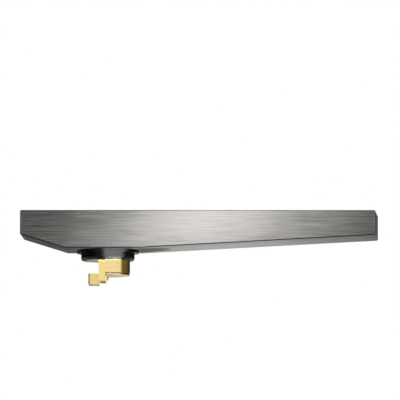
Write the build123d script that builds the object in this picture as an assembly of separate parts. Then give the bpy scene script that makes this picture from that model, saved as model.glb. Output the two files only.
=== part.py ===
from build123d import *
import os
from math import atan2, cos, tan

# A linear shower drain: a folded steel tray with a hemmed rim, a flush folded cover on
# corner pads and cross bars, and a brass core with a counterweighted flap in its outlet.
# Millimetres. +X runs along the drain away from its outlet, +Y to its back, +Z up.
# The origin is the middle of the cover's top, level with the finished floor.

# Tray, folded from one sheet
tray_length = 400.0
tray_width = 80.0
left_depth = 27.0
right_depth = 28.0
outlet_depth = 42.5
left_slope_run = 50.0
level_floor = 84.0
tray_sheet = 1.2
tray_corner_radius = 1.5
rim_width = 3.0
hem_depth = 8.0
hem_fold_radius = 1.15
floor_fold_radius = 1.2

# Cover, folded from one sheet
slot_gap = 4.5
cover_sheet = 1.2
cover_skirt = 9.0
cover_fold_radius = 1.1
cover_corner_radius = 1.4
rib_count = 3
rib_spacing = 120.0
rib_sheet = 1.0
rib_flange = 6.0
rib_channel = 12.0
rib_depth = 6.0
rib_end_gap = 0.5

# Supports under the cover
bar_count = 2
bar_spacing = 120.0
bar_middle = 20.0
bar_sheet = 1.5
bar_width = 12.0
bar_drop = 8.0
pad_arm = 10.7
pad_recess = 0.8
pad_ledge = 14.0
pad_ledge_thickness = 3.0
pad_clearance = 0.15
pad_peg_radius = 2.0
pad_peg_length = 3.0
gusset_leg = 30.0
gusset_sheet = 1.2

# Outlet
outlet_offset = 97.2
spigot_radius = 26.7
spigot_wall = 1.2
spigot_length = 11.2
seal_flange_radius = 35.0
seal_flange_thickness = 3.5
seal_radius = 30.2
seal_barrel = 5.6
seal_taper_length = 2.5
seal_taper = 1.2

# Core, a brass body that drops into the spigot and hangs by its lip
core_clearance = 0.3
core_wall = 2.0
core_lip_overhang = 4.1
core_lip_thickness = 2.0
core_lip_round = 0.8
core_barrel = 12.9
core_seat_width = 1.6
core_seat_depth = 1.0
core_length = 27.5
flat_offset = 1.6
oring_section = 1.5
oring_flat = 0.7
oring_depths = (4.0, 8.5)

# Hinge between the core's two ears
ear_thickness = 2.0
ear_outer_y = 18.0
ear_reach = 7.9
ear_clearance = 0.3
hinge_offset = 2.2
hinge_drop = 7.5
hinge_boss_radius = 1.9
pin_radius = 1.0
pin_clearance = 0.05
pin_head_radius = 1.6
pin_head_thickness = 0.7

# Flap, its gasket and its counterweight
flap_gap = 0.3
gasket_thickness = 0.8
gasket_inset = 0.9
flap_inset = 0.4
flap_thickness = 1.2
lug_width = 5.5
lug_foot = 1.6
retainer_thickness = 0.8
retainer_clearance = 1.4
flap_screw_radius = 1.5
flap_screw_head_radius = 2.7
flap_screw_head_height = 1.3
flap_screw_y = 9.0
screw_slot_width = 0.8
screw_slot_depth = 0.6
arm_height = 3.6
arm_width = 18.0
weight_length = 12.1
weight_width = 24.0
weight_height = 12.4
weight_below_pin = 5.4
weight_edge_radius = 2.2
weight_chamfer = 2.0
weight_screw_radius = 1.25
weight_screw_head_radius = 2.5
weight_screw_grip = 4.2

# Hair strainer that lies in the core's mouth
strainer_sheet = 0.8
strainer_clearance = 0.3
strainer_depth = 8.0
strainer_hole_radius = 1.4
strainer_ring_pitch = 5.2
strainer_ring_count = 3
strainer_first_ring_holes = 6
handle_wire_radius = 1.0
handle_span = 16.0
handle_height = 13.0

# Worked out from the sizes above
half_length = tray_length / 2
half_width = tray_width / 2
right_slope_run = tray_length - left_slope_run - level_floor
left_slope = atan2(outlet_depth - left_depth, left_slope_run)
right_slope = atan2(outlet_depth - right_depth, right_slope_run)
floor_top = tray_sheet - outlet_depth
cover_length = tray_length - 2 * (rim_width + slot_gap)
cover_width = tray_width - 2 * (rim_width + slot_gap)
outlet_x = outlet_offset - half_length
spigot_bore = spigot_radius - spigot_wall
core_radius = spigot_bore - core_clearance
core_bore = core_radius - core_wall
core_lip_radius = core_radius + core_lip_overhang
lip_top = floor_top + core_lip_thickness
barrel_end = floor_top - core_barrel
core_end = floor_top - core_length
flat_x = outlet_x - flat_offset
ear_inner_y = ear_outer_y - ear_thickness
hinge_x = outlet_x - hinge_offset
hinge_z = core_end - hinge_drop
gasket_top = core_end - flap_gap
gasket_bottom = gasket_top - gasket_thickness
flap_bottom = gasket_bottom - flap_thickness
knuckle_half = ear_inner_y - ear_clearance
weight_right = flat_x - ear_reach + flap_gap
weight_left = weight_right - weight_length
weight_bottom = hinge_z - weight_below_pin
groove_depth = oring_section - core_clearance


# Box between two corners
def block(x0, x1, y0, y1, z0, z1):
    middle = ((x0 + x1) / 2, (y0 + y1) / 2, (z0 + z1) / 2)
    return Pos(*middle) * Box(x1 - x0, y1 - y0, z1 - z0)


# Upright cylinder on the outlet's axis, or beside it
def upright(radius, bottom, top, x=outlet_x, y=0.0):
    return Pos(x, y, (bottom + top) / 2) * Cylinder(radius, top - bottom)


# Cylinder along Y round the hinge line
def across(radius, y0, y1):
    return Pos(hinge_x, (y0 + y1) / 2, hinge_z) * Rot(90, 0, 0) * Cylinder(radius, y1 - y0)


# Flat outline in the XZ plane, pushed out from y0 to y1
def side_plate(points, y0, y1):
    face = Plane.XZ.offset(-y0) * make_face(Polyline(*points, close=True))
    return extrude(face, y0 - y1)


# The trough's side outline, moved inwards by one distance and up to a given height
def trough(inset, top, width):
    left_wall = inset - half_length
    right_wall = half_length - inset
    left_rise = inset / cos(left_slope)
    right_rise = inset / cos(right_slope)
    floor = inset - outlet_depth
    left_foot = left_rise - left_depth - inset * tan(left_slope)
    right_foot = right_rise - right_depth - inset * tan(right_slope)
    left_bend = left_wall + (left_foot - floor) / tan(left_slope)
    right_bend = right_wall - (right_foot - floor) / tan(right_slope)
    points = [
        (left_wall, top),
        (left_wall, left_foot),
        (left_bend, floor),
        (right_bend, floor),
        (right_wall, right_foot),
        (right_wall, top),
    ]
    return side_plate(points, -width / 2, width / 2)


# Edges round the outside of the trough's floor
def floor_edges(shape):
    lowest_wall = -min(left_depth, right_depth) + tray_corner_radius
    near_side = half_width - tray_corner_radius
    near_end = half_length - tray_corner_radius
    low = [e for e in shape.edges() if e.bounding_box().max.Z < lowest_wall]
    return [e for e in low if abs(e.center().Y) > near_side or abs(e.center().X) > near_end]


# Tray: walls, sloped floor, hem folded in and down round the rim, and the outlet's hole
def make_tray():
    shell = trough(0, 0, tray_width)
    shell = fillet(shell.edges().filter_by(Axis.Z), tray_corner_radius)
    shell = fillet(floor_edges(shell), floor_fold_radius)
    shell -= trough(tray_sheet, tray_sheet, tray_width - 2 * tray_sheet)
    outer = RectangleRounded(tray_length, tray_width, tray_corner_radius)
    mouth = Rectangle(tray_length - 2 * rim_width, tray_width - 2 * rim_width)
    shell += extrude(outer - mouth, -hem_depth)
    gap_outside = Rectangle(tray_length - 2 * tray_sheet, tray_width - 2 * tray_sheet)
    gap_inside = offset(mouth, tray_sheet, kind=Kind.INTERSECTION)
    gap = Pos(0, 0, -hem_depth) * extrude(gap_outside - gap_inside, hem_depth - tray_sheet)
    shell -= gap
    shell = fillet(shell.edges().group_by(Axis.Z)[-1], hem_fold_radius)
    return shell - upright(spigot_radius, -outlet_depth - tray_sheet, floor_top + tray_sheet)


# Cover: a flat top with a skirt folded down all round
def make_cover():
    outline = RectangleRounded(cover_length, cover_width, cover_corner_radius)
    cover = extrude(outline, -cover_skirt)
    cover = fillet(cover.edges().group_by(Axis.Z)[-1], cover_fold_radius)
    inside = Rectangle(cover_length - 2 * cover_sheet, cover_width - 2 * cover_sheet)
    return cover - Pos(0, 0, -cover_skirt) * extrude(inside, cover_skirt - cover_sheet)


# Hat-section stiffener welded under the cover's top
def make_rib(x):
    foot = rib_channel / 2 + rib_flange
    side = rib_channel / 2
    inner = side - rib_sheet
    top = -cover_sheet
    flange = top - rib_sheet
    base = top - rib_depth
    half = [(foot, top), (foot, flange), (side, flange), (side, base)]
    hollow = [(inner, top), (inner, base + rib_sheet)]
    left = [(x - u, z) for u, z in half] + [(x + u, z) for u, z in reversed(half)]
    right = [(x + u, z) for u, z in hollow] + [(x - u, z) for u, z in reversed(hollow)]
    reach = cover_width / 2 - cover_sheet - rib_end_gap
    return side_plate(left + right, -reach, reach)


# Angle bar welded between the long walls, level with the skirt's lower edge
def make_bar(x):
    reach = half_width - tray_sheet
    top = -cover_skirt
    low = top - bar_drop
    near = x - bar_width / 2
    points = [
        (near, top),
        (near + bar_width, top),
        (near + bar_width, top - bar_sheet),
        (near + bar_sheet, top - bar_sheet),
        (near + bar_sheet, low),
        (near, low),
    ]
    return side_plate(points, -reach, reach)


# Where a corner pad's peg stands, in the corner at +X and +Y
def peg_place():
    reach = pad_ledge / 2 + slot_gap / 2
    return half_length - rim_width - reach, half_width - rim_width - reach


# Plastic pad: an L that fills the slot's corner, a ledge under the cover, and a peg
def make_pad():
    x = half_length - rim_width
    y = half_width - rim_width
    web = slot_gap - pad_clearance
    ell = block(x - pad_arm, x, y - pad_arm, y, -cover_skirt, -pad_recess)
    ell -= block(x - pad_arm, x - web, y - pad_arm, y - web, -cover_skirt, -pad_recess)
    under = -cover_skirt - pad_ledge_thickness
    ledge = block(x - pad_ledge, x, y - pad_ledge, y, under, -cover_skirt)
    peg_x, peg_y = peg_place()
    return ell + ledge + upright(pad_peg_radius, under - pad_peg_length, under, peg_x, peg_y)


# Steel gusset welded in the tray's corner, with the hole for the pad's peg
def make_gusset():
    x = half_length - tray_sheet
    y = half_width - tray_sheet
    top = -cover_skirt - pad_ledge_thickness
    outline = Polyline((x, y), (x - gusset_leg, y), (x, y - gusset_leg), close=True)
    plate = Pos(0, 0, top) * extrude(make_face(outline), -gusset_sheet)
    peg_x, peg_y = peg_place()
    return plate - upright(pad_peg_radius, top - 2 * gusset_sheet, top, peg_x, peg_y)


# The four corner places of a shape that is drawn in the corner at +X and +Y
def corners(shape):
    back_left = shape.mirror(Plane.YZ)
    return {
        "back_right": shape,
        "back_left": back_left,
        "front_right": shape.mirror(Plane.XZ),
        "front_left": back_left.mirror(Plane.XZ),
    }


# Steel tube welded into the floor's hole
def make_spigot():
    bottom = floor_top - spigot_length
    return upright(spigot_radius, bottom, floor_top) - upright(spigot_bore, bottom, floor_top)


# Solid turned round the outlet's axis from radius and height pairs
def turned(points):
    face = Plane.XZ * make_face(Polyline(*points, close=True))
    return Pos(outlet_x, 0, 0) * revolve(face, Axis.Z)


# Rubber collar pushed over the spigot, which seals it in the waste pipe
def make_seal():
    top = -outlet_depth
    shoulder = top - seal_flange_thickness
    taper = shoulder - seal_barrel
    bottom = taper - seal_taper_length
    return turned([
        (spigot_radius, top),
        (seal_flange_radius, top),
        (seal_flange_radius, shoulder),
        (seal_radius, shoulder),
        (seal_radius, taper),
        (seal_radius - seal_taper, bottom),
        (spigot_radius, bottom),
    ])


# Half disc on the outlet's axis, cut off by an upright plane, with a margin to the round side
def half_moon(radius, left, bottom, top):
    right = outlet_x + 2 * radius
    return upright(radius, bottom, top) & block(left, right, -radius, radius, bottom, top)


# Ears that carry the hinge pin, one each side, running down from the flat wall
def make_ear(y0, y1):
    left = flat_x - ear_reach
    neck = flat_x - ear_clearance
    foot = hinge_z - hinge_boss_radius
    step = core_end - flap_gap
    points = [
        (left, barrel_end),
        (flat_x, barrel_end),
        (flat_x, core_end),
        (neck, step),
        (neck, hinge_z),
        (hinge_x, foot),
        (left, foot),
    ]
    return side_plate(points, y0, y1) + across(hinge_boss_radius, y0, y1)


# Core: lip, round barrel, half-moon outlet tube, two ears and the grooves for the rings
def make_core():
    core = turned([
        (core_bore, barrel_end),
        (core_radius, barrel_end),
        (core_radius, floor_top),
        (core_lip_radius, floor_top),
        (core_lip_radius, lip_top - core_lip_round),
        (core_lip_radius - core_lip_round, lip_top),
        (core_bore + core_seat_width, lip_top),
        (core_bore + core_seat_width, lip_top - core_seat_depth),
        (core_bore, lip_top - core_seat_depth),
    ])
    shelf = upright(core_bore, barrel_end, barrel_end + core_wall)
    core += shelf - half_moon(core_bore, flat_x + core_wall, barrel_end, barrel_end + core_wall)
    tube = half_moon(core_radius, flat_x, core_end, barrel_end)
    core += tube - half_moon(core_bore, flat_x + core_wall, core_end, barrel_end)
    core += make_ear(-ear_outer_y, -ear_inner_y)
    core += make_ear(ear_inner_y, ear_outer_y)
    core -= across(pin_radius, -ear_outer_y, ear_outer_y)
    for depth in oring_depths:
        middle = floor_top - depth
        low = middle - oring_section / 2
        high = middle + oring_section / 2
        core -= upright(core_radius, low, high) - upright(core_radius - groove_depth, low, high)
    return core


# Ring seal in one of the core's grooves, squeezed flat against the groove and the spigot
def make_oring(depth):
    middle_radius = spigot_bore - oring_section / 2
    middle = floor_top - depth
    half = oring_section / 2
    flat = oring_flat / 2
    eighths = [(half, -flat), (half, flat), (flat, half), (-flat, half)]
    outline = eighths + [(-across_it, -up) for across_it, up in eighths]
    return turned([(middle_radius + out, middle + up) for out, up in outline])


# Hinge pin with a head outside each ear
def make_pin():
    head = ear_outer_y + pin_head_thickness
    pin = across(pin_radius, -ear_outer_y, ear_outer_y)
    pin += across(pin_head_radius, -head, -ear_outer_y)
    return pin + across(pin_head_radius, ear_outer_y, head)


# Upright holes for the two screws through the flap
def flap_screw_holes(bottom, top):
    x = outlet_x + core_bore / 2
    return [upright(flap_screw_radius, bottom, top, x, y) for y in (-flap_screw_y, flap_screw_y)]


# Flap: plate, two lugs down to the knuckle, and the arm that carries the counterweight
def make_flap():
    left = flat_x + ear_clearance
    flap = half_moon(core_radius - flap_inset, left, flap_bottom, gasket_bottom)
    lug = [
        (left, gasket_bottom),
        (left + lug_foot, gasket_bottom),
        (left + lug_foot, flap_bottom),
        (hinge_x + hinge_boss_radius, hinge_z),
        (hinge_x, hinge_z),
        (hinge_x, flap_bottom),
        (left, flap_bottom),
    ]
    lug_inner = knuckle_half - lug_width
    flap += side_plate(lug, -knuckle_half, -lug_inner) + side_plate(lug, lug_inner, knuckle_half)
    flap += across(hinge_boss_radius, -knuckle_half, knuckle_half)
    low = hinge_z - arm_height / 2
    arm = block(weight_right, hinge_x, -arm_width / 2, arm_width / 2, low, low + arm_height)
    flap += arm
    flap -= across(pin_radius + pin_clearance, -knuckle_half, knuckle_half)
    for hole in flap_screw_holes(flap_bottom, gasket_bottom):
        flap -= hole
    return flap - weight_screw_shank()


# Shank of the counterweight's screw, along X through the block into the flap's arm
def weight_screw_shank():
    right = weight_right + weight_screw_grip
    shank = Cylinder(weight_screw_radius, right - weight_left)
    return Pos((weight_left + right) / 2, 0, hinge_z) * Rot(0, 90, 0) * shank


# Countersunk head of that screw, flush with the counterweight's end
def weight_screw_head():
    height = weight_screw_head_radius - weight_screw_radius
    cone = Cone(weight_screw_head_radius, weight_screw_radius, height)
    return Pos(weight_left + height / 2, 0, hinge_z) * Rot(0, 90, 0) * cone


# The whole screw, with a slot across its head
def make_weight_screw():
    reach = weight_screw_head_radius
    half = screw_slot_width / 2
    deep = weight_left + screw_slot_depth
    slot = block(weight_left, deep, -reach, reach, hinge_z - half, hinge_z + half)
    return weight_screw_shank() + weight_screw_head() - slot


# Counterweight, chamfered where it swings up between the ears
def make_weight():
    top = weight_bottom + weight_height
    points = [
        (weight_left, weight_bottom),
        (weight_right, weight_bottom),
        (weight_right, top - weight_chamfer),
        (weight_right - weight_chamfer, top),
        (weight_left, top),
    ]
    weight = side_plate(points, -weight_width / 2, weight_width / 2)
    outer = weight.edges().filter_by(Axis.Z).group_by(Axis.X)[0]
    return fillet(outer, weight_edge_radius) - weight_screw_shank() - weight_screw_head()


# Gasket under the tube's rim
def make_gasket():
    left = flat_x + ear_clearance
    gasket = half_moon(core_radius - gasket_inset, left, gasket_bottom, gasket_top)
    for hole in flap_screw_holes(gasket_bottom, gasket_top):
        gasket -= hole
    return gasket


# Steel plate that holds the gasket down, inside the tube
def make_retainer():
    left = flat_x + core_wall + retainer_clearance
    top = gasket_top + retainer_thickness
    plate = half_moon(core_bore - retainer_clearance, left, gasket_top, top)
    for hole in flap_screw_holes(gasket_top, top):
        plate -= hole
    return plate


# The two screws through retainer, gasket and flap
def make_flap_screws():
    x = outlet_x + core_bore / 2
    low = gasket_top + retainer_thickness
    top = low + flap_screw_head_height
    reach = flap_screw_head_radius
    half = screw_slot_width / 2
    screws = []
    for y, shank in zip((-flap_screw_y, flap_screw_y), flap_screw_holes(flap_bottom, low)):
        slot = block(x - half, x + half, y - reach, y + reach, top - screw_slot_depth, top)
        screws.append(shank + upright(reach, low, top, x, y) - slot)
    return Compound(children=screws)


# Strainer: pressed cup with a flange in the core's seat and rings of holes in its base
def make_strainer():
    flange_radius = core_bore + core_seat_width - strainer_clearance
    cup_radius = core_bore - strainer_clearance
    seat = lip_top - core_seat_depth
    base = seat - strainer_depth
    cup = turned([
        (0, base),
        (cup_radius, base),
        (cup_radius, seat),
        (flange_radius, seat),
        (flange_radius, seat + strainer_sheet),
        (cup_radius - strainer_sheet, seat + strainer_sheet),
        (cup_radius - strainer_sheet, base + strainer_sheet),
        (0, base + strainer_sheet),
    ])
    hole = Pos(0, 0, base + strainer_sheet / 2) * Cylinder(strainer_hole_radius, strainer_sheet)
    middle = Pos(outlet_x, 0, 0)
    for number in range(1, strainer_ring_count + 1):
        ring = PolarLocations(number * strainer_ring_pitch, number * strainer_first_ring_holes)
        cup -= [middle * place * hole for place in ring]
    return cup


# Wire handle that stands on the strainer's base
def make_handle():
    foot = lip_top - core_seat_depth - strainer_depth + strainer_sheet
    half = handle_span / 2
    shoulder = foot + handle_height - half
    start = (outlet_x, -half, foot)
    front = (outlet_x, -half, shoulder)
    crown = (outlet_x, 0, shoulder + half)
    back = (outlet_x, half, shoulder)
    path = Line(start, front) + ThreePointArc(front, crown, back) + Line(back, (outlet_x, half, foot))
    return sweep(Plane(origin=start, z_dir=(0, 0, 1)) * Circle(handle_wire_radius), path=path)


# Evenly spaced places along X
def spaced(count, spacing, middle):
    return [middle + (i - (count - 1) / 2) * spacing for i in range(count)]


def all_pieces():
    pieces = {
        "tray": make_tray(),
        "outlet_spigot": make_spigot(),
        "pipe_seal": make_seal(),
        "cover_panel": make_cover(),
        "core_body": make_core(),
        "core_oring_upper": make_oring(oring_depths[0]),
        "core_oring_lower": make_oring(oring_depths[1]),
        "hinge_pin": make_pin(),
        "flap": make_flap(),
        "flap_gasket": make_gasket(),
        "gasket_retainer": make_retainer(),
        "flap_screws": make_flap_screws(),
        "counterweight": make_weight(),
        "counterweight_screw": make_weight_screw(),
        "hair_strainer": make_strainer(),
        "strainer_handle": make_handle(),
    }
    for number, x in enumerate(spaced(rib_count, rib_spacing, 0.0), 1):
        pieces[f"cover_rib_{number}"] = make_rib(x)
    for number, x in enumerate(spaced(bar_count, bar_spacing, bar_middle), 1):
        pieces[f"cross_bar_{number}"] = make_bar(x)
    for place, pad in corners(make_pad()).items():
        pieces[f"corner_pad_{place}"] = pad
    for place, gusset in corners(make_gusset()).items():
        pieces[f"corner_gusset_{place}"] = gusset
    return pieces


os.makedirs("parts", exist_ok=True)
for name, piece in all_pieces().items():
    export_step(piece, f"parts/{name}.step")
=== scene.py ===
import bpy
import math
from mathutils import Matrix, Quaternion, Vector


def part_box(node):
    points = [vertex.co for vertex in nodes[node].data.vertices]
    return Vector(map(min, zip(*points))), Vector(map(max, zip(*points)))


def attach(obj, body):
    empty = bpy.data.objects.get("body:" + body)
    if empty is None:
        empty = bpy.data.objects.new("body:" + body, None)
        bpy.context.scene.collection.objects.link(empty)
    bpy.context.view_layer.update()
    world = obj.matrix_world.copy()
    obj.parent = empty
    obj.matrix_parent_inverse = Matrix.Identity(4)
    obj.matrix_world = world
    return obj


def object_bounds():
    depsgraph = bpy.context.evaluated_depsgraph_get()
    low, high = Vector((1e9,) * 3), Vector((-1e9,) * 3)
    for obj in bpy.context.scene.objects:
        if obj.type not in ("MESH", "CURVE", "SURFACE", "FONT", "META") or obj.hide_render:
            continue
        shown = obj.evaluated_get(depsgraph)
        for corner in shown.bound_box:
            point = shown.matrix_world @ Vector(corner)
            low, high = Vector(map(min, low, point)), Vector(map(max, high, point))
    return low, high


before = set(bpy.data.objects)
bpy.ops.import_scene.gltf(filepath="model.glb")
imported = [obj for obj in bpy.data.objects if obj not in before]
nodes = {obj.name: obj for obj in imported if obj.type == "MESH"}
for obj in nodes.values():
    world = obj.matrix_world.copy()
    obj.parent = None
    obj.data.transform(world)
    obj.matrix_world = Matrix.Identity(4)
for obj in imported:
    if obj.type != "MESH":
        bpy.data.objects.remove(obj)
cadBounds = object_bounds()
print("stage: frame loaded,", len(nodes), "nodes")

drain = "drain"
mm = 0.001


# Small helpers for node trees

def addNode(tree, kind, **settings):
    node = tree.nodes.new(kind)
    for key, value in settings.items():
        setattr(node, key, value)
    return node


def join(tree, source, target):
    tree.links.new(source, target)


# A socket takes a number, a colour or another node's output
def feed(tree, socket, value):
    if isinstance(value, (int, float)):
        socket.default_value = value
    elif isinstance(value, tuple):
        socket.default_value = (*value, 1.0)
    else:
        join(tree, value, socket)


def mathNode(tree, operation, first, second=None, clamp=False):
    node = addNode(tree, "ShaderNodeMath", operation=operation, use_clamp=clamp)
    feed(tree, node.inputs[0], first)
    if second is not None:
        feed(tree, node.inputs[1], second)
    return node.outputs[0]


def mixNumber(tree, factor, low, high):
    node = addNode(tree, "ShaderNodeMix", data_type="FLOAT")
    for index, value in ((0, factor), (2, low), (3, high)):
        feed(tree, node.inputs[index], value)
    return node.outputs[0]


def mixColour(tree, factor, low, high):
    node = addNode(tree, "ShaderNodeMix", data_type="RGBA")
    for index, value in ((0, factor), (6, low), (7, high)):
        feed(tree, node.inputs[index], value)
    return node.outputs[2]


# Whether the size of one part of a direction or place is over a limit, as a mask
def sizeOver(tree, output, limit):
    return mathNode(tree, "GREATER_THAN", mathNode(tree, "ABSOLUTE", output), limit)


def splitVector(tree, source):
    parts = addNode(tree, "ShaderNodeSeparateXYZ")
    join(tree, source, parts.inputs[0])
    return parts.outputs


def groupSocket(group, name, direction, kind, value=None):
    socket = group.interface.new_socket(name=name, in_out=direction, socket_type=kind)
    if value is not None:
        socket.default_value = value


def placeGroup(tree, group, values):
    node = addNode(tree, "ShaderNodeGroup", node_tree=group)
    for key, value in values.items():
        if hasattr(value, "is_output"):
            join(tree, value, node.inputs[key])
        else:
            node.inputs[key].default_value = value
    return node


# Shader groups that several finishes share

brushing = {
    "endFacing": 0.8,
    "flatFacing": 0.6,
    "faceShift": 37.0,
    "lineDetail": 3.0,
    "bandDetail": 1.0,
    "noiseRoughness": 0.6,
}


# Lines run along the length, but across it on the two ends. Each kind of face has its own lines
def makeBrushGroup(values):
    group = bpy.data.node_groups.new("brushLines", "ShaderNodeTree")
    groupSocket(group, "Position", "INPUT", "NodeSocketVector")
    groupSocket(group, "Facing", "INPUT", "NodeSocketVector")
    groupSocket(group, "Line Density", "INPUT", "NodeSocketFloat", 1500.0)
    groupSocket(group, "Line Stretch", "INPUT", "NodeSocketFloat", 10.0)
    groupSocket(group, "Band Density", "INPUT", "NodeSocketFloat", 260.0)
    groupSocket(group, "Lines", "OUTPUT", "NodeSocketFloat")
    groupSocket(group, "Bands", "OUTPUT", "NodeSocketFloat")
    enter = addNode(group, "NodeGroupInput")
    leave = addNode(group, "NodeGroupOutput")
    place = splitVector(group, enter.outputs["Position"])
    facing = splitVector(group, enter.outputs["Facing"])
    onEnd = sizeOver(group, facing[0], values["endFacing"])
    onFlat = sizeOver(group, facing[2], values["flatFacing"])
    along = mixNumber(group, onEnd, place[0], place[1])
    across = mixNumber(group, onFlat, place[2], place[1])
    kinds = mathNode(group, "ADD", onEnd, onFlat)
    face = mathNode(group, "MULTIPLY", kinds, values["faceShift"])
    for name, density, detail in (
        ("Lines", "Line Density", values["lineDetail"]),
        ("Bands", "Band Density", values["bandDetail"]),
    ):
        vector = addNode(group, "ShaderNodeCombineXYZ")
        join(group, mathNode(group, "MULTIPLY", along, enter.outputs["Line Stretch"]), vector.inputs[0])
        join(group, mathNode(group, "MULTIPLY", across, enter.outputs[density]), vector.inputs[1])
        join(group, face, vector.inputs[2])
        noise = addNode(group, "ShaderNodeTexNoise")
        noise.inputs["Scale"].default_value = 1.0
        noise.inputs["Detail"].default_value = detail
        noise.inputs["Roughness"].default_value = values["noiseRoughness"]
        join(group, vector.outputs[0], noise.inputs["Vector"])
        join(group, noise.outputs["Fac"], leave.inputs[name])
    return group


folding = {
    "lowerEdgeGain": -3.2,
    "upperEdgeGain": 1.6,
    "inwardsLimit": -0.001,
    "upwardsLimit": 0.5,
}


# Masks for painted shade. The first two are the rounded folds along the two long sides: the lower fold
# and the hem get a painted dark line in place of their dark reflection. Inside is what faces in or up
# below the rim, which gets painted shade
def makeFoldGroup(values):
    group = bpy.data.node_groups.new("foldedEdges", "ShaderNodeTree")
    groupSocket(group, "Position", "INPUT", "NodeSocketVector")
    groupSocket(group, "Facing", "INPUT", "NodeSocketVector")
    groupSocket(group, "Rim Depth", "INPUT", "NodeSocketFloat", 0.005)
    groupSocket(group, "Lower Edge", "OUTPUT", "NodeSocketFloat")
    groupSocket(group, "Upper Edge", "OUTPUT", "NodeSocketFloat")
    groupSocket(group, "Inside", "OUTPUT", "NodeSocketFloat")
    enter = addNode(group, "NodeGroupInput")
    leave = addNode(group, "NodeGroupOutput")
    place = splitVector(group, enter.outputs["Position"])
    facing = splitVector(group, enter.outputs["Facing"])
    side = mathNode(group, "ABSOLUTE", facing[1])
    lean = mathNode(group, "MULTIPLY", side, facing[2])
    for name in ("lower", "upper"):
        edge = mathNode(group, "MULTIPLY", lean, values[name + "EdgeGain"], clamp=True)
        join(group, edge, leave.inputs[name.title() + " Edge"])
    lengthways = mathNode(group, "MULTIPLY", place[0], facing[0])
    sideways = mathNode(group, "MULTIPLY", place[1], facing[1])
    outwards = mathNode(group, "ADD", lengthways, sideways)
    inwards = mathNode(group, "LESS_THAN", outwards, values["inwardsLimit"])
    upwards = mathNode(group, "GREATER_THAN", facing[2], values["upwardsLimit"])
    either = mathNode(group, "MAXIMUM", inwards, upwards)
    sunk = mathNode(group, "ADD", place[2], enter.outputs["Rim Depth"])
    below = mathNode(group, "LESS_THAN", sunk, 0.0)
    join(group, mathNode(group, "MULTIPLY", either, below), leave.inputs["Inside"])
    return group


smudging = {
    "patchDetail": 3.0,
    "grainDetail": 2.0,
}


def makeSmudgeGroup(values):
    group = bpy.data.node_groups.new("handledSurface", "ShaderNodeTree")
    groupSocket(group, "Position", "INPUT", "NodeSocketVector")
    groupSocket(group, "Patch Scale", "INPUT", "NodeSocketFloat", 25.0)
    groupSocket(group, "Grain Scale", "INPUT", "NodeSocketFloat", 1800.0)
    groupSocket(group, "Patches", "OUTPUT", "NodeSocketFloat")
    groupSocket(group, "Grain", "OUTPUT", "NodeSocketFloat")
    enter = addNode(group, "NodeGroupInput")
    leave = addNode(group, "NodeGroupOutput")
    for name, scale, detail in (
        ("Patches", "Patch Scale", values["patchDetail"]),
        ("Grain", "Grain Scale", values["grainDetail"]),
    ):
        noise = addNode(group, "ShaderNodeTexNoise")
        noise.inputs["Detail"].default_value = detail
        join(group, enter.outputs["Position"], noise.inputs["Vector"])
        join(group, enter.outputs[scale], noise.inputs["Scale"])
        join(group, noise.outputs["Fac"], leave.inputs[name])
    return group


brushLines = makeBrushGroup(brushing)
foldedEdges = makeFoldGroup(folding)
handledSurface = makeSmudgeGroup(smudging)


# Finishes

def newFinish(name, **constants):
    material = bpy.data.materials.new(name)
    material.use_nodes = True
    tree = material.node_tree
    tree.nodes.clear()
    shader = addNode(tree, "ShaderNodeBsdfPrincipled")
    leave = addNode(tree, "ShaderNodeOutputMaterial")
    join(tree, shader.outputs[0], leave.inputs["Surface"])
    place = addNode(tree, "ShaderNodeTexCoord")
    for key, value in constants.items():
        shader.inputs[key].default_value = value
    return material, tree, shader, place


def addBump(tree, shader, height, strength, distance):
    bump = addNode(tree, "ShaderNodeBump")
    bump.inputs["Strength"].default_value = strength
    bump.inputs["Distance"].default_value = distance
    join(tree, height, bump.inputs["Height"])
    join(tree, bump.outputs[0], shader.inputs["Normal"])


# The direction across the brush lines, which the highlights are drawn out along
def acrossBrush(tree, place):
    facing = splitVector(tree, place.outputs["Normal"])
    onEnd = sizeOver(tree, facing[0], brushing["endFacing"])
    brush = addNode(tree, "ShaderNodeCombineXYZ")
    join(tree, mathNode(tree, "SUBTRACT", 1.0, onEnd), brush.inputs[0])
    join(tree, onEnd, brush.inputs[1])
    turn = addNode(tree, "ShaderNodeVectorMath", operation="CROSS_PRODUCT")
    join(tree, place.outputs["Normal"], turn.inputs[0])
    join(tree, brush.outputs[0], turn.inputs[1])
    return turn.outputs[0]


gunmetal = {
    "dark": (0.125, 0.121, 0.114),
    "light": (0.410, 0.398, 0.380),
    # The fold colour is a painted dark line on the lower fold, standing in for its dark reflection
    "fold": (0.022, 0.021, 0.020),
    # The hem colour is a painted dark line below the top edge, standing in for the hem's dark
    # reflection
    "hem": (0.05, 0.048, 0.046),
    # Below the rim, what faces in or up is duller, and its colour is darkened as painted shade
    "inside": (0.110, 0.107, 0.102),
    "roughInside": 0.50,
    "rimDepth": 0.005,
    "roughLow": 0.32,
    "roughHigh": 0.46,
    "anisotropy": 0.90,
    "lineDensity": 2200.0,
    "lineStretch": 20.0,
    "bandDensity": 640.0,
    "bandShare": 0.30,
    "patchScale": 9.0,
    "patchShare": 0.25,
    "contrastLow": 0.38,
    "contrastHigh": 0.62,
    "bumpStrength": 0.12,
    "bumpDepth": 0.00006,
}

# The cover is brushed finer than the tray
coverGunmetal = {
    **gunmetal,
    "dark": (0.125, 0.122, 0.116),
    "light": (0.300, 0.292, 0.280),
    "roughLow": 0.34,
    "roughHigh": 0.44,
    "lineDensity": 2600.0,
    "lineStretch": 24.0,
    "bandDensity": 1000.0,
}


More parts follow.
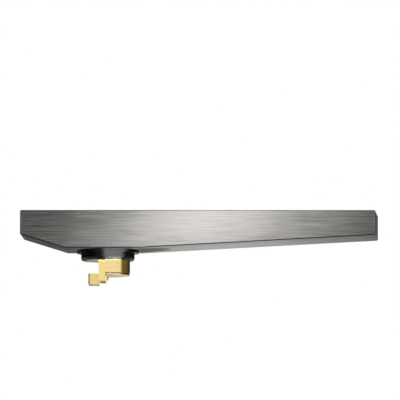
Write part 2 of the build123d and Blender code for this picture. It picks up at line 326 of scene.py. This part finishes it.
def makeGunmetal(name, values):
    material, tree, shader, place = newFinish(name, Metallic=1.0, Anisotropic=values["anisotropy"])
    lines = placeGroup(tree, brushLines, {
        "Position": place.outputs["Object"],
        "Facing": place.outputs["Normal"],
        "Line Density": values["lineDensity"],
        "Line Stretch": values["lineStretch"],
        "Band Density": values["bandDensity"],
    })
    patches = placeGroup(tree, handledSurface, {
        "Position": place.outputs["Object"],
        "Patch Scale": values["patchScale"],
    })
    fold = placeGroup(tree, foldedEdges, {
        "Position": place.outputs["Object"],
        "Facing": place.outputs["Normal"],
        "Rim Depth": values["rimDepth"],
    })
    mixed = mixNumber(tree, values["bandShare"], lines.outputs["Lines"], lines.outputs["Bands"])
    shade = mixNumber(tree, values["patchShare"], mixed, patches.outputs["Patches"])
    spread = addNode(tree, "ShaderNodeMapRange", clamp=True)
    spread.inputs["From Min"].default_value = values["contrastLow"]
    spread.inputs["From Max"].default_value = values["contrastHigh"]
    join(tree, shade, spread.inputs["Value"])
    brushed = mixColour(tree, spread.outputs[0], values["dark"], values["light"])
    # The hem gets a painted dark line in place of its dark reflection
    rolled = mixColour(tree, fold.outputs["Upper Edge"], brushed, values["hem"])
    # The lower fold gets a painted dark line in place of its dark reflection
    folded = mixColour(tree, fold.outputs["Lower Edge"], rolled, values["fold"])
    # Below the rim, what faces in or up is darkened as painted shade and made duller
    colour = mixColour(tree, fold.outputs["Inside"], folded, values["inside"])
    join(tree, colour, shader.inputs["Base Color"])
    brushedRough = mixNumber(tree, spread.outputs[0], values["roughLow"], values["roughHigh"])
    rough = mixNumber(tree, fold.outputs["Inside"], brushedRough, values["roughInside"])
    join(tree, rough, shader.inputs["Roughness"])
    join(tree, acrossBrush(tree, place), shader.inputs["Tangent"])
    addBump(tree, shader, lines.outputs["Lines"], values["bumpStrength"], values["bumpDepth"])
    return material


plainFinishes = {
    "castBrass": {
        "metal": 1.0, "low": (0.88, 0.66, 0.22), "high": (0.95, 0.77, 0.33),
        "roughLow": 0.22, "roughHigh": 0.34, "patchScale": 60.0, "grainScale": 2600.0,
        "bumpStrength": 0.10, "bumpDepth": 0.00004,
    },
    "turnedBrass": {
        "metal": 1.0, "low": (0.82, 0.62, 0.22), "high": (0.92, 0.745, 0.36),
        "roughLow": 0.18, "roughHigh": 0.28, "patchScale": 45.0, "grainScale": 2200.0,
        "bumpStrength": 0.08, "bumpDepth": 0.00003,
    },
    "pressedSteel": {
        "metal": 1.0, "low": (0.52, 0.52, 0.51), "high": (0.66, 0.66, 0.65),
        "roughLow": 0.20, "roughHigh": 0.32, "patchScale": 70.0, "grainScale": 2400.0,
        "bumpStrength": 0.06, "bumpDepth": 0.00003,
    },
    # Matte pickled steel for the inner parts, its colour darkened as painted shade
    "pickledSteel": {
        "metal": 1.0, "low": (0.060, 0.058, 0.056), "high": (0.100, 0.097, 0.093),
        "roughLow": 0.45, "roughHigh": 0.60, "patchScale": 50.0, "grainScale": 2000.0,
        "bumpStrength": 0.12, "bumpDepth": 0.00004,
    },
    "blackRubber": {
        "metal": 0.0, "low": (0.0003, 0.0003, 0.00035), "high": (0.001, 0.001, 0.0011),
        "specular": 0.14,
        "roughLow": 0.22, "roughHigh": 0.34, "patchScale": 40.0, "grainScale": 1400.0,
        "bumpStrength": 0.10, "bumpDepth": 0.00004,
    },
    "weldedSteel": {
        "metal": 1.0, "low": (0.26, 0.25, 0.24), "high": (0.42, 0.40, 0.36),
        "roughLow": 0.30, "roughHigh": 0.48, "patchScale": 160.0, "grainScale": 2400.0,
        "bumpStrength": 0.15, "bumpDepth": 0.00005,
    },
    "greyPad": {
        "metal": 0.0, "low": (0.44, 0.44, 0.435), "high": (0.54, 0.54, 0.53),
        # Deeper than 4 mm the pads are darkened as painted shade
        "paintedShade": (0.035, 0.034, 0.032), "paintedShadeBelow": -0.004,
        "roughLow": 0.45, "roughHigh": 0.60, "patchScale": 80.0, "grainScale": 1100.0,
        "bumpStrength": 0.25, "bumpDepth": 0.00006,
    },
}


usualSpecular = 0.5
grainShare = 0.4


def makePlainFinish(name, values):
    material, tree, shader, place = newFinish(name, Metallic=values["metal"])
    shader.inputs["Specular IOR Level"].default_value = values.get("specular", usualSpecular)
    surface = placeGroup(tree, handledSurface, {
        "Position": place.outputs["Object"],
        "Patch Scale": values["patchScale"],
        "Grain Scale": values["grainScale"],
    })
    shade = mixNumber(tree, grainShare, surface.outputs["Patches"], surface.outputs["Grain"])
    colour = mixColour(tree, shade, values["low"], values["high"])
    # Deeper than the given level the colour is darkened, as painted shade
    if "paintedShade" in values:
        spot = splitVector(tree, place.outputs["Object"])
        sunk = mathNode(tree, "LESS_THAN", spot[2], values["paintedShadeBelow"])
        colour = mixColour(tree, sunk, colour, values["paintedShade"])
    join(tree, colour, shader.inputs["Base Color"])
    rough = mixNumber(tree, surface.outputs["Patches"], values["roughLow"], values["roughHigh"])
    join(tree, rough, shader.inputs["Roughness"])
    addBump(tree, shader, surface.outputs["Grain"], values["bumpStrength"], values["bumpDepth"])
    return material


finishes = {name: makePlainFinish(name, values) for name, values in plainFinishes.items()}
finishes["brushedGunmetal"] = makeGunmetal("brushedGunmetal", gunmetal)
finishes["coverGunmetal"] = makeGunmetal("coverGunmetal", coverGunmetal)
print("stage: finishes made,", len(finishes))


# Dressing the solids: smooth round faces, softened edges, finishes

edging = {
    "mergeDistance": 0.002 * mm,
    "sharpAngle": math.radians(20),
    "bevelAngle": math.radians(40),
    "bevelSegments": 2,
}


def makeSmoothTree(values):
    tree = bpy.data.node_groups.new("weldAndShade", "GeometryNodeTree")
    groupSocket(tree, "Geometry", "INPUT", "NodeSocketGeometry")
    groupSocket(tree, "Merge Distance", "INPUT", "NodeSocketFloat", values["mergeDistance"])
    groupSocket(tree, "Sharp Angle", "INPUT", "NodeSocketFloat", values["sharpAngle"])
    groupSocket(tree, "Geometry", "OUTPUT", "NodeSocketGeometry")
    enter = addNode(tree, "NodeGroupInput")
    leave = addNode(tree, "NodeGroupOutput")
    merge = addNode(tree, "GeometryNodeMergeByDistance")
    faces = addNode(tree, "GeometryNodeSetShadeSmooth")
    edges = addNode(tree, "GeometryNodeSetShadeSmooth", domain="EDGE")
    angle = addNode(tree, "GeometryNodeInputMeshEdgeAngle")
    blunt = addNode(tree, "FunctionNodeCompare", data_type="FLOAT", operation="LESS_THAN")
    join(tree, enter.outputs["Geometry"], merge.inputs["Geometry"])
    join(tree, enter.outputs["Merge Distance"], merge.inputs["Distance"])
    join(tree, merge.outputs["Geometry"], faces.inputs["Geometry"])
    join(tree, faces.outputs["Geometry"], edges.inputs["Geometry"])
    join(tree, angle.outputs["Unsigned Angle"], blunt.inputs[0])
    join(tree, enter.outputs["Sharp Angle"], blunt.inputs[1])
    join(tree, blunt.outputs[0], edges.inputs["Shade Smooth"])
    join(tree, edges.outputs["Geometry"], leave.inputs["Geometry"])
    return tree


weldAndShade = makeSmoothTree(edging)

# Each finish with the nodes that take it, a name that ends in _ standing for several, and the
# width in mm of their softened edges
dressing = {
    "brushedGunmetal": (["tray"], 0.0),
    "coverGunmetal": (["cover_panel"], 0.0),
    "pickledSteel": (["outlet_spigot", "cross_bar_", "cover_rib_", "corner_gusset_"], 0.0),
    "turnedBrass": (["core_body", "hinge_pin"], 0.30),
    "castBrass": (["flap", "counterweight"], 0.70),
    "pressedSteel": (["hair_strainer", "strainer_handle", "gasket_retainer", "flap_screws",
                      "counterweight_screw"], 0.0),
    "blackRubber": (["pipe_seal", "core_oring_", "flap_gasket"], 0.0),
    "greyPad": (["corner_pad_"], 0.4),
}


def dressNode(node, finish, softening):
    node.data.materials.clear()
    node.data.materials.append(finish)
    shade = node.modifiers.new("weldAndShade", "NODES")
    shade.node_group = weldAndShade
    if softening:
        edges = node.modifiers.new("softEdges", "BEVEL")
        edges.width = softening * mm
        edges.segments = edging["bevelSegments"]
        edges.limit_method = "ANGLE"
        edges.angle_limit = edging["bevelAngle"]
        edges.harden_normals = True


def dressAll():
    done = set()
    for finish, (names, softening) in dressing.items():
        for name, node in nodes.items():
            if any(name == n or (n.endswith("_") and name.startswith(n)) for n in names):
                dressNode(node, finishes[finish], softening)
                done.add(name)
    print("stage: dressed,", len(done), "of", len(nodes))


dressAll()


# Weld beads that hold the bars, the gussets and the stiffeners, each a row of overlapping scales.
# A seam sinks into its piece by the overlap

weldSeams = {
    "scaleSpacing": 0.9 * mm,
    "scaleLength": 0.9 * mm,
    "scaleWidth": 0.75 * mm,
    "scaleHeight": 0.45 * mm,
    "scaleSegments": 8,
    "scaleRings": 5,
    "unevenness": 0.15,
    "seed": 11,
    "stitchLength": 6.0 * mm,
    "stitchPitch": 18.0 * mm,
    "overlap": 0.15 * mm,
    "barFoot": 1.0 * mm,
    "barCorner": 2.0 * mm,
    "barHeightShare": 0.8,
    "ribOverlaps": 3,
}


def makeWeldTree(values):
    tree = bpy.data.node_groups.new("weldScales", "GeometryNodeTree")
    groupSocket(tree, "Geometry", "INPUT", "NodeSocketGeometry")
    groupSocket(tree, "Spacing", "INPUT", "NodeSocketFloat", 0.001)
    groupSocket(tree, "Scale Size", "INPUT", "NodeSocketVector", (0.001, 0.001, 0.0005))
    groupSocket(tree, "Unevenness", "INPUT", "NodeSocketFloat", 0.1)
    groupSocket(tree, "Seed", "INPUT", "NodeSocketInt", 1)
    groupSocket(tree, "Finish", "INPUT", "NodeSocketMaterial")
    groupSocket(tree, "Geometry", "OUTPUT", "NodeSocketGeometry")
    enter = addNode(tree, "NodeGroupInput")
    leave = addNode(tree, "NodeGroupOutput")
    path = addNode(tree, "GeometryNodeMeshToCurve")
    steps = addNode(tree, "GeometryNodeResampleCurve", mode="LENGTH")
    tangent = addNode(tree, "GeometryNodeInputTangent")
    turn = addNode(tree, "FunctionNodeAlignRotationToVector", axis="X")
    scale = addNode(tree, "GeometryNodeMeshUVSphere")
    scale.inputs["Radius"].default_value = 1.0
    scale.inputs["Segments"].default_value = values["scaleSegments"]
    scale.inputs["Rings"].default_value = values["scaleRings"]
    least = mathNode(tree, "SUBTRACT", 1.0, enter.outputs["Unevenness"])
    most = mathNode(tree, "ADD", 1.0, enter.outputs["Unevenness"])
    vary = addNode(tree, "FunctionNodeRandomValue", data_type="FLOAT")
    numbers = {socket.name: socket for socket in vary.inputs if socket.type == "VALUE"}
    join(tree, least, numbers["Min"])
    join(tree, most, numbers["Max"])
    join(tree, enter.outputs["Seed"], vary.inputs["Seed"])
    size = addNode(tree, "ShaderNodeVectorMath", operation="SCALE")
    join(tree, enter.outputs["Scale Size"], size.inputs[0])
    varied = next(socket for socket in vary.outputs if socket.type == "VALUE")
    join(tree, varied, size.inputs["Scale"])
    place = addNode(tree, "GeometryNodeInstanceOnPoints")
    real = addNode(tree, "GeometryNodeRealizeInstances")
    smooth = addNode(tree, "GeometryNodeSetShadeSmooth")
    finish = addNode(tree, "GeometryNodeSetMaterial")
    join(tree, enter.outputs["Geometry"], path.inputs["Mesh"])
    join(tree, path.outputs["Curve"], steps.inputs["Curve"])
    join(tree, enter.outputs["Spacing"], steps.inputs["Length"])
    join(tree, tangent.outputs[0], turn.inputs["Vector"])
    join(tree, steps.outputs[0], place.inputs["Points"])
    join(tree, scale.outputs["Mesh"], place.inputs["Instance"])
    join(tree, turn.outputs[0], place.inputs["Rotation"])
    join(tree, size.outputs[0], place.inputs["Scale"])
    join(tree, place.outputs[0], real.inputs["Geometry"])
    join(tree, real.outputs[0], smooth.inputs["Geometry"])
    join(tree, smooth.outputs[0], finish.inputs["Geometry"])
    join(tree, enter.outputs["Finish"], finish.inputs["Material"])
    join(tree, finish.outputs[0], leave.inputs["Geometry"])
    return tree


def setInput(modifier, name, value):
    for item in modifier.node_group.interface.items_tree:
        if item.item_type == "SOCKET" and item.in_out == "INPUT" and item.name == name:
            modifier[item.identifier] = value


# Short runs along a line, as a welder stitches a long edge
def stitches(start, end, length, pitch):
    start, end = Vector(start), Vector(end)
    whole = (end - start).length
    along = (end - start) / whole
    count = max(1, round(whole / pitch))
    runs = []
    for i in range(count):
        middle = start + along * (whole * (i + 0.5) / count)
        half = along * min(length, whole) / 2
        runs.append((middle - half, middle + half))
    return runs


def weldRuns(values):
    length, pitch, bite = values["stitchLength"], values["stitchPitch"], values["overlap"]
    runs = []
    for name in nodes:
        low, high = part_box(name)
        if name.startswith("cross_bar_"):
            foot = low[2] + values["barFoot"]
            top = low[2] + (high[2] - low[2]) * values["barHeightShare"]
            corner = low[0] + values["barCorner"]
            for side, y in ((1, low[1]), (-1, high[1])):
                seam = y + side * bite
                runs.append((Vector((low[0], seam, foot)), Vector((low[0], seam, top))))
                runs.append((Vector((corner, seam, top - bite)), Vector((high[0], seam, top - bite))))
        if name.startswith("corner_gusset_"):
            outerX = max(low[0], high[0], key=abs)
            outerY = max(low[1], high[1], key=abs)
            innerX = min(low[0], high[0], key=abs)
            innerY = min(low[1], high[1], key=abs)
            seamX = outerX - math.copysign(bite, outerX)
            seamY = outerY - math.copysign(bite, outerY)
            runs += stitches((innerX, seamY, low[2]), (outerX, seamY, low[2]), length, pitch)
            runs += stitches((seamX, innerY, low[2]), (seamX, outerY, low[2]), length, pitch)
        if name.startswith("cover_rib_"):
            for x in (low[0], high[0]):
                seam = high[2] - values["ribOverlaps"] * bite
                runs += stitches((x, low[1], seam), (x, high[1], seam), length, pitch)
    return runs


def makeWelds(values):
    runs = weldRuns(values)
    points = [tuple(point) for run in runs for point in run]
    paths = bpy.data.meshes.new("weldPaths")
    paths.from_pydata(points, [(i, i + 1) for i in range(0, len(points), 2)], [])
    guide = bpy.data.objects.new("weldGuide", paths)
    bpy.context.scene.collection.objects.link(guide)
    grow = guide.modifiers.new("weldScales", "NODES")
    grow.node_group = makeWeldTree(values)
    setInput(grow, "Spacing", values["scaleSpacing"])
    size = (values["scaleLength"], values["scaleWidth"], values["scaleHeight"])
    setInput(grow, "Scale Size", size)
    setInput(grow, "Unevenness", values["unevenness"])
    setInput(grow, "Seed", values["seed"])
    setInput(grow, "Finish", finishes["weldedSteel"])
    ready = guide.evaluated_get(bpy.context.evaluated_depsgraph_get())
    mesh = bpy.data.meshes.new_from_object(ready)
    welds = bpy.data.objects.new("weldBeads", mesh)
    bpy.context.scene.collection.objects.link(welds)
    bpy.data.objects.remove(guide)
    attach(welds, drain)
    print("stage: welds made,", len(runs), "runs,", len(mesh.polygons), "faces")


makeWelds(weldSeams)


# Studio

studio = {
    "floorGap": 0.004,
    "floorSize": 6.0,
    "floorColour": (0.86, 0.86, 0.86),
    "floorRoughness": 0.9,
    "backgroundStrength": 1.0,
    "fillStrength": 0.75,
}


# Cameras and reflections see full white, and all else gets a softer fill
def makeWorld(values):
    world = bpy.data.worlds.new("whiteStudio")
    bpy.context.scene.world = world
    world.use_nodes = True
    tree = world.node_tree
    tree.nodes.clear()
    seen = addNode(tree, "ShaderNodeBackground")
    fill = addNode(tree, "ShaderNodeBackground")
    for white, strength in ((seen, "backgroundStrength"), (fill, "fillStrength")):
        white.inputs["Strength"].default_value = values[strength]
        white.inputs["Color"].default_value = (1.0, 1.0, 1.0, 1.0)
    path = addNode(tree, "ShaderNodeLightPath")
    shown = mathNode(tree, "ADD", path.outputs["Is Camera Ray"], path.outputs["Is Glossy Ray"])
    shown = mathNode(tree, "ADD", shown, path.outputs["Is Transmission Ray"], clamp=True)
    choose = addNode(tree, "ShaderNodeMixShader")
    leave = addNode(tree, "ShaderNodeOutputWorld")
    join(tree, shown, choose.inputs[0])
    join(tree, fill.outputs[0], choose.inputs[1])
    join(tree, seen.outputs[0], choose.inputs[2])
    join(tree, choose.outputs[0], leave.inputs["Surface"])


def flatCorners(x, y, level):
    return [(-x, -y, level), (x, -y, level), (x, y, level), (-x, y, level)]


def makeSheet(name, corners, material):
    mesh = bpy.data.meshes.new(name)
    mesh.from_pydata([tuple(c) for c in corners], [], [tuple(range(len(corners)))])
    mesh.materials.append(material)
    sheet = bpy.data.objects.new(name, mesh)
    bpy.context.scene.collection.objects.link(sheet)
    return sheet


# The floor is clear from below, so that the main camera looks past it
def makeFloor(values):
    material, tree, shader, _ = newFinish("paleFloor", Roughness=values["floorRoughness"])
    shader.inputs["Base Color"].default_value = (*values["floorColour"], 1.0)
    shader.inputs["Specular IOR Level"].default_value = 0.0
    clear = addNode(tree, "ShaderNodeBsdfTransparent")
    geometry = addNode(tree, "ShaderNodeNewGeometry")
    choose = addNode(tree, "ShaderNodeMixShader")
    leave = next(n for n in tree.nodes if n.bl_idname == "ShaderNodeOutputMaterial")
    join(tree, geometry.outputs["Backfacing"], choose.inputs[0])
    join(tree, shader.outputs[0], choose.inputs[1])
    join(tree, clear.outputs[0], choose.inputs[2])
    join(tree, choose.outputs[0], leave.inputs["Surface"])
    level = cadBounds[0][2] - values["floorGap"]
    half = values["floorSize"] / 2
    floor = makeSheet("floor", flatCorners(half, half, level), material)
    floor.visible_glossy = False


# Graded cards that only reflections see. Each row gives places along the card and how white it is
# there. They grow white outwards, so that they end in the white room

cards = {
    "distance": 0.85,
    "height": 1.6,
    "bandLow": -0.04,
    "bandHigh": 0.07,
    "front": ((-0.80, 1.00), (-0.60, 0.35), (-0.42, 0.02), (-0.27, 0.05), (-0.17, 0.28), (-0.08, 0.10),
              (0.02, 0.02), (0.20, 0.03), (0.30, 0.14), (0.42, 0.06), (0.60, 0.35), (0.80, 1.00)),
    "back": ((-0.90, 1.00), (-0.76, 0.25), (-0.64, 0.01), (-0.23, 0.03), (-0.17, 0.33), (-0.10, 0.95),
             (-0.03, 1.60), (0.02, 1.60), (0.08, 1.10), (0.14, 0.50), (0.19, 0.26), (0.24, 0.24),
             (0.34, 0.12), (0.64, 0.90), (0.90, 1.00)),
    "top": ((-0.70, 1.00), (-0.50, 0.35), (-0.36, 0.03), (-0.24, 0.05), (-0.10, 0.42), (0.03, 0.42),
            (0.12, 0.03), (0.36, 0.02), (0.50, 0.35), (0.70, 1.00)),
    "topSkew": 0.14,
    "sideLow": -0.25,
    "sideHigh": 0.35,
    "leftPath": ((-1.0, -0.85), (-1.0, 0.83), (-0.36, 0.83)),
    "leftLevel": 0.06,
    "rightPath": ((1.0, -0.30), (1.0, 0.83), (0.36, 0.83)),
    "rightLevel": 0.01,
}


def makeGlow(name, levels, skew=0.0):
    material, tree, shader, place = newFinish(name, Roughness=1.0)
    shader.inputs["Base Color"].default_value = (0.0, 0.0, 0.0, 1.0)
    shader.inputs["Specular IOR Level"].default_value = 0.0
    brightest = max(level for _, level in levels)
    shader.inputs["Emission Strength"].default_value = brightest
    spot = splitVector(tree, place.outputs["Object"])
    leaning = mathNode(tree, "SUBTRACT", spot[0], mathNode(tree, "MULTIPLY", spot[1], skew))
    reach = levels[-1][0]
    curve = addNode(tree, "ShaderNodeFloatCurve")
    points = curve.mapping.curves[0].points
    for x, level in levels[1:-1]:
        points.new(0.5 + x / (2 * reach), level / brightest)
    points[0].location = (0.0, levels[0][1] / brightest)
    points[-1].location = (1.0, levels[-1][1] / brightest)
    curve.mapping.update()
    along = mathNode(tree, "ADD", mathNode(tree, "DIVIDE", leaning, 2 * reach), 0.5)
    join(tree, along, curve.inputs["Value"])
    join(tree, curve.outputs[0], shader.inputs["Emission Color"])
    material.cycles.emission_sampling = "NONE"
    return material


def makeCard(name, corners, material):
    card = makeSheet(name, corners, material)
    card.visible_camera = False
    card.visible_diffuse = False
    card.visible_shadow = False
    card.visible_transmission = False


def makeUpright(name, start, end, low, high, material):
    makeCard(name, [(*start, low), (*end, low), (*end, high), (*start, high)], material)


def makeCards(values):
    away, height = values["distance"], values["height"]
    frontGlow = makeGlow("frontCard", values["front"])
    backGlow = makeGlow("backCard", values["back"])
    topGlow = makeGlow("topCard", values["top"], values["topSkew"])
    front, back, top = (values[name][-1][0] for name in ("front", "back", "top"))
    left, right = (-front, -away), (front, -away)
    makeUpright("cardFrontHigh", left, right, values["bandHigh"], height, frontGlow)
    makeUpright("cardFrontLow", left, right, -height, values["bandLow"], frontGlow)
    makeUpright("cardBack", (-back, away), (back, away), -height, height, backGlow)
    for name in ("left", "right"):
        path, level = values[name + "Path"], values[name + "Level"]
        glow = makeGlow(name + "Card", ((-1.0, level), (1.0, level)))
        for start, end in zip(path, path[1:]):
            makeUpright(name + "Card", start, end, values["sideLow"], values["sideHigh"], glow)
    makeCard("cardTop", flatCorners(top, away, away), topGlow)


# Each lamp lights the finishes whose names end in the word given, and softFront lights them all.
# The others stand nearer than the cards, which would hide them from reflections

lamps = {
    "steelFront": {
        "at": (-0.020, -0.83, 0.09), "to": (0.0, 0.0, -0.02),
        "size": (0.22, 0.9), "power": 3.9, "only": "Gunmetal",
    },
    "steelBack": {
        "at": (0.05, 0.83, 0.10), "to": (0.0, 0.0, -0.02),
        "size": (0.22, 0.9), "power": 3.7, "only": "Gunmetal",
    },
    "steelTop": {
        "at": (0.0, 0.0, 0.83), "to": (0.0, 0.0, 0.0),
        "size": (0.16, 0.9), "power": 0.9, "only": "Gunmetal",
    },
    "rubberFront": {
        "at": (0.18, -0.525, -0.385), "to": (-0.10, 0.0, -0.385),
        "size": (1.05, 0.72), "power": 107.0, "only": "blackRubber",
    },
    "brassFront": {
        "at": (0.05, -0.83, 0.02), "to": (0.05, 0.0, 0.02),
        "size": (1.3, 0.35), "power": 0.60, "only": "Brass",
    },
    "brassEdge": {
        "at": (0.97, 0.08, -0.04), "to": (-0.10, 0.08, -0.04),
        "size": (1.45, 0.5), "power": 0.27, "tint": (1.0, 0.74, 0.22), "only": "Brass",
    },
    "softFront": {
        "at": (0.35, -1.4, 0.9), "to": (0.0, 0.0, -0.03),
        "size": (1.2, 1.2), "power": 9.0, "only": "",
    },
}


def receiversOf(finish):
    group = bpy.data.collections.new(finish + "Receivers")
    for node in nodes.values():
        if node.data.materials[0].name.endswith(finish):
            group.objects.link(node)
    return group


def makeLamp(name, values):
    data = bpy.data.lights.new(name, "AREA")
    data.shape = "RECTANGLE"
    data.size, data.size_y = values["size"]
    data.energy = values["power"]
    data.color = values.get("tint", (1.0, 1.0, 1.0))
    lamp = bpy.data.objects.new(name, data)
    lamp.location = values["at"]
    aim = Vector(values["to"]) - Vector(values["at"])
    lamp.rotation_euler = aim.to_track_quat("-Z", "Y").to_euler()
    lamp.visible_camera = False
    if values["only"]:
        lamp.light_linking.receiver_collection = receiversOf(values["only"])
    bpy.context.scene.collection.objects.link(lamp)


# Far away with a long lens, as the photo's receding edges are nearly parallel. Angles in degrees

photoCamera = {
    "azimuth": 2.9,
    "elevation": -4.9,
    "distance": 20.0,
    "lens": 1597.4,
    "aim": (0.0008, 0.0, 0.0147),
    "roll": 0.26,
    "sensorWidth": 36.0,
    "farthest": 100.0,
}


def makeCamera(values):
    data = bpy.data.cameras.new("photoCamera")
    data.lens = values["lens"]
    data.sensor_width = values["sensorWidth"]
    data.clip_end = values["farthest"]
    camera = bpy.data.objects.new("photoCamera", data)
    turn, lift = math.radians(values["azimuth"]), math.radians(values["elevation"])
    level = math.cos(lift)
    away = Vector((math.sin(turn) * level, -math.cos(turn) * level, math.sin(lift)))
    camera.location = Vector(values["aim"]) + away * values["distance"]
    roll = Quaternion((0.0, 0.0, 1.0), math.radians(values["roll"]))
    camera.rotation_euler = ((-away).to_track_quat("-Z", "Y") @ roll).to_euler()
    bpy.context.scene.collection.objects.link(camera)
    bpy.context.scene.camera = camera


makeWorld(studio)
makeFloor(studio)
makeCards(cards)
for lampName, lampValues in lamps.items():
    makeLamp(lampName, lampValues)
makeCamera(photoCamera)
bpy.context.scene.view_settings.view_transform = "Standard"
print("stage: studio ready")
